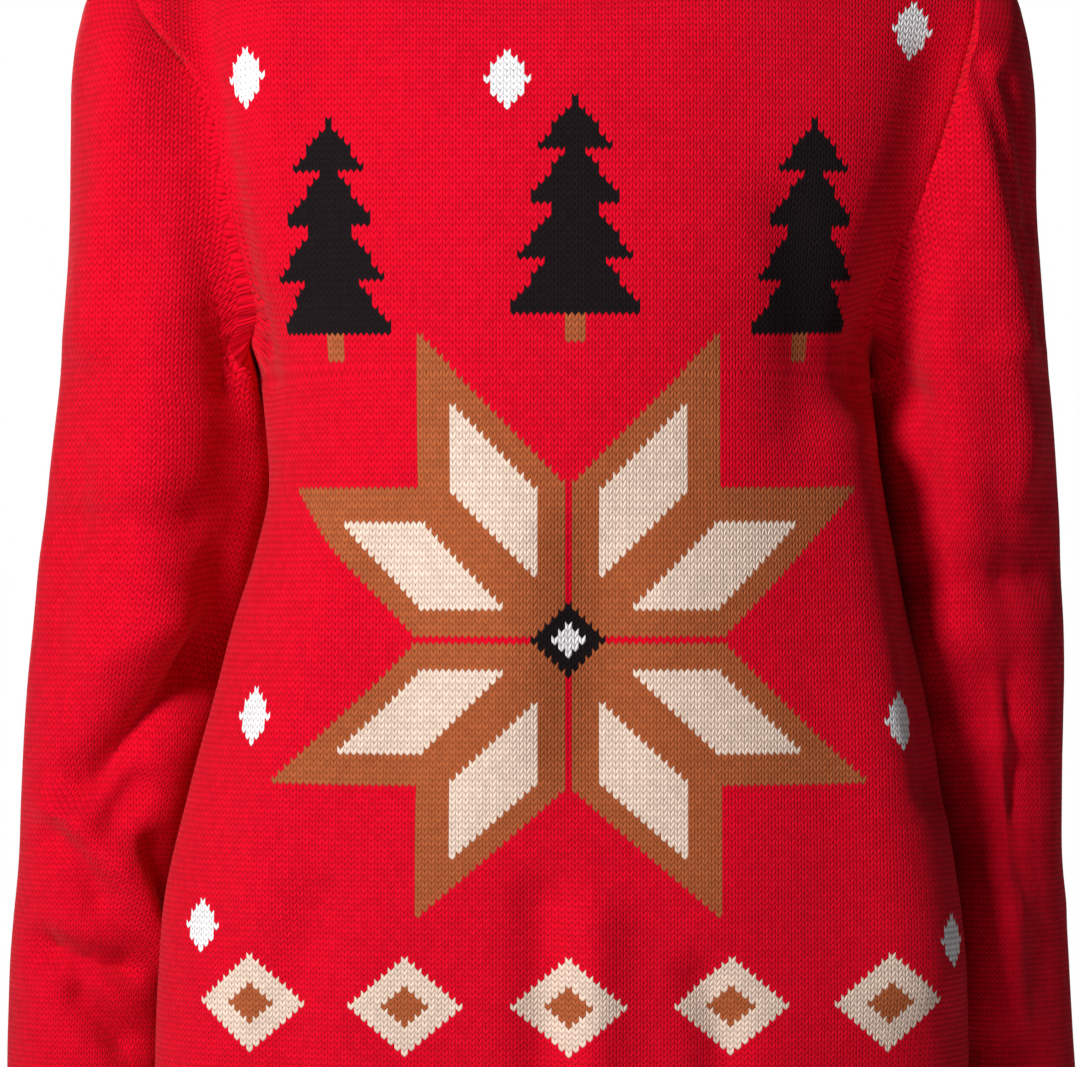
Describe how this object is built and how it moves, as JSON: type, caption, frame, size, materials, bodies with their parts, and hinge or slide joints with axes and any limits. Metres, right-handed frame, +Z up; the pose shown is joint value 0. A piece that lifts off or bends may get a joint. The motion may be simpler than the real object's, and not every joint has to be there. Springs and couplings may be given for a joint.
{
  "type": "christmas sweater",
  "caption": "Long-sleeved knitted pullover in the hollow form it takes when worn with the arms down, with a round ribbed neck, ribbed hem and cuffs.",
  "frame": {"origin": "midway between the two neck points, where the shoulder seams meet the neckband; the sweater hangs below it", "axes": "+Z up, the front faces -Y, +X towards the wearer's left sleeve"},
  "size_m": [0.5856, 0.2419, 0.7411],
  "materials": {
    "front": "matt red wool-like yarn, stocking stitch",
    "back": "matt red wool-like yarn, stocking stitch",
    "sleeve_right": "matt red wool-like yarn, stocking stitch",
    "sleeve_left": "matt red wool-like yarn, stocking stitch",
    "neckband": "matt red wool-like yarn, ribbed",
    "hem_rib_front": "matt red wool-like yarn, ribbed",
    "hem_rib_back": "matt red wool-like yarn, ribbed",
    "cuff_right": "matt red wool-like yarn, ribbed",
    "cuff_left": "matt red wool-like yarn, ribbed"
  },
  "bodies": {
    "root": {"front": "front", "back": "back", "sleeve_right": "sleeve_right", "sleeve_left": "sleeve_left", "neckband": "neckband", "hem_rib_front": "hem_rib_front", "hem_rib_back": "hem_rib_back", "cuff_right": "cuff_right", "cuff_left": "cuff_left"}
  },
  "joints": []
}
